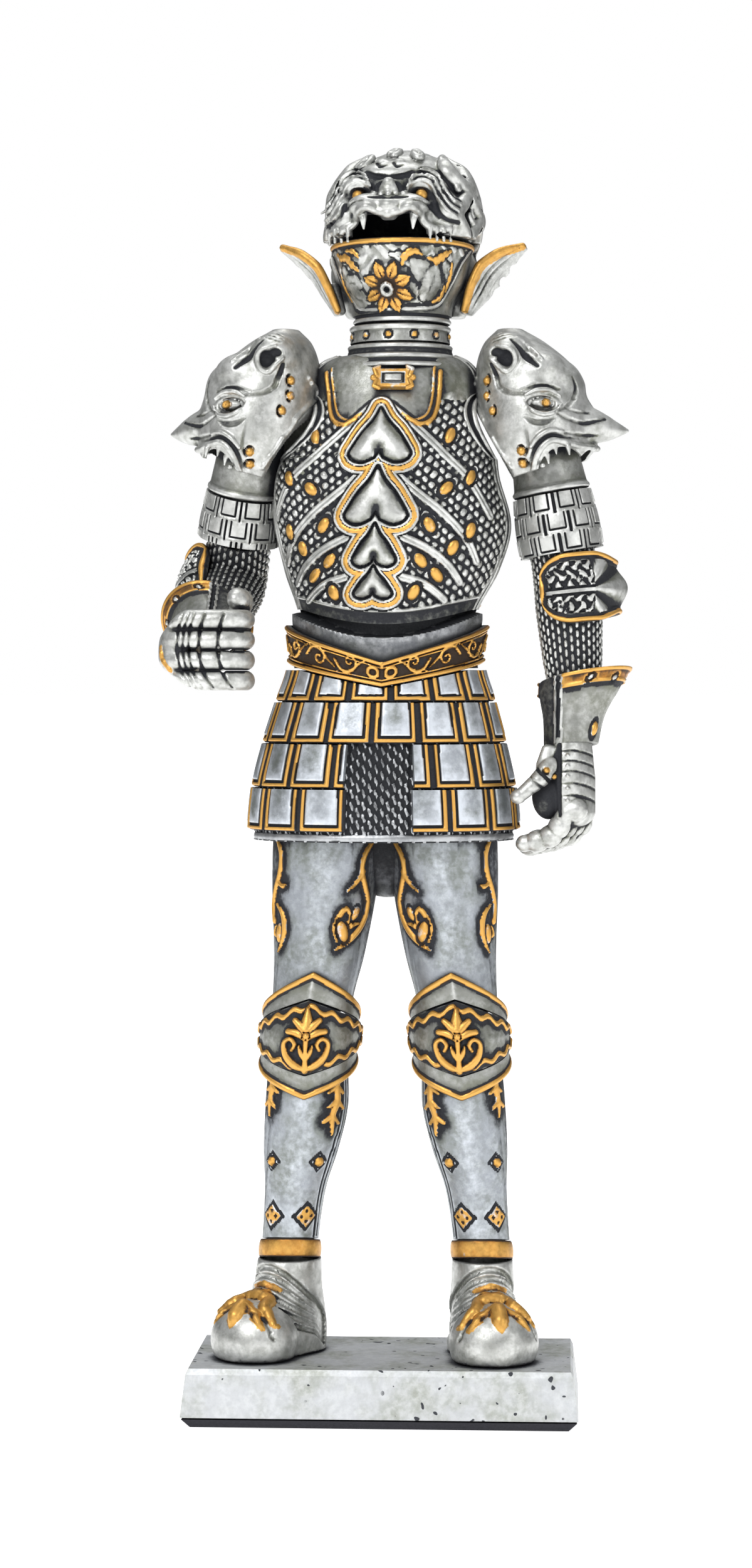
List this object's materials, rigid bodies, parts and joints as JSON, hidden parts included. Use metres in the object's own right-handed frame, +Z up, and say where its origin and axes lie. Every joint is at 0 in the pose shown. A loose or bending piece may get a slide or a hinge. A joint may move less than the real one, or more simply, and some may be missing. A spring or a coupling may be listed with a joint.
{
  "type": "miniature suit of plate armour on a plinth",
  "caption": "Miniature suit of ornate plate armour with a beast-faced helm, standing empty on a rectangular plinth.",
  "frame": {"origin": "middle of the underside of the pad under the plinth", "axes": "+Z up, -Y the way the suit faces, +X towards the suit's own left hand"},
  "size_m": [0.0738, 0.0426, 0.1994],
  "materials": {
    "pewter": "antiqued cast pewter, worn bright on the high spots and dark in the recesses",
    "dark_pewter": "antiqued cast pewter, mostly dark, with bright link tips",
    "gilt": "gold paint over pewter, worn at the edges",
    "pad": "thin black pad"
  },
  "bodies": {
    "root": {"plinth": "pewter", "helm_skull": "pewter", "helm_bevor": "pewter", "helm_neck": "pewter", "gorget_upper": "pewter", "gorget_lower": "pewter", "breastplate": "pewter", "backplate": "pewter", "pauldron_left": "pewter", "arm_cannon_left": "pewter", "tile_sleeve_left": "pewter", "couter_left": "pewter", "cuff_left": "pewter", "hand_plate_left": "pewter", "thumb_left": "pewter", "finger_left_1": "pewter", "finger_left_2": "pewter", "finger_left_3": "pewter", "finger_left_4": "pewter", "cuisse_left": "pewter", "poleyn_upper_left": "pewter", "poleyn_cop_left": "pewter", "poleyn_lower_left": "pewter", "greave_left": "pewter", "sabaton_left": "pewter", "pauldron_right": "pewter", "arm_cannon_right": "pewter", "tile_sleeve_right": "pewter", "couter_right": "pewter", "cuff_right": "pewter", "hand_plate_right": "pewter", "thumb_right": "pewter", "finger_right_1": "pewter", "finger_right_2": "pewter", "finger_right_3": "pewter", "finger_right_4": "pewter", "cuisse_right": "pewter", "poleyn_upper_right": "pewter", "poleyn_cop_right": "pewter", "poleyn_lower_right": "pewter", "greave_right": "pewter", "sabaton_right": "pewter", "waist_plate": "dark_pewter", "mail_skirt": "dark_pewter", "mail_sleeve_left": "dark_pewter", "mail_sleeve_right": "dark_pewter", "belt": "gilt", "neck_clasp": "gilt", "ear_wing_left": "gilt", "ear_wing_right": "gilt", "ankle_band_left": "gilt", "ankle_band_right": "gilt", "skirt_row_1": "gilt", "skirt_row_2": "gilt", "skirt_row_3": "gilt", "skirt_row_4": "gilt", "plinth_pad": "pad"}
  },
  "joints": []
}
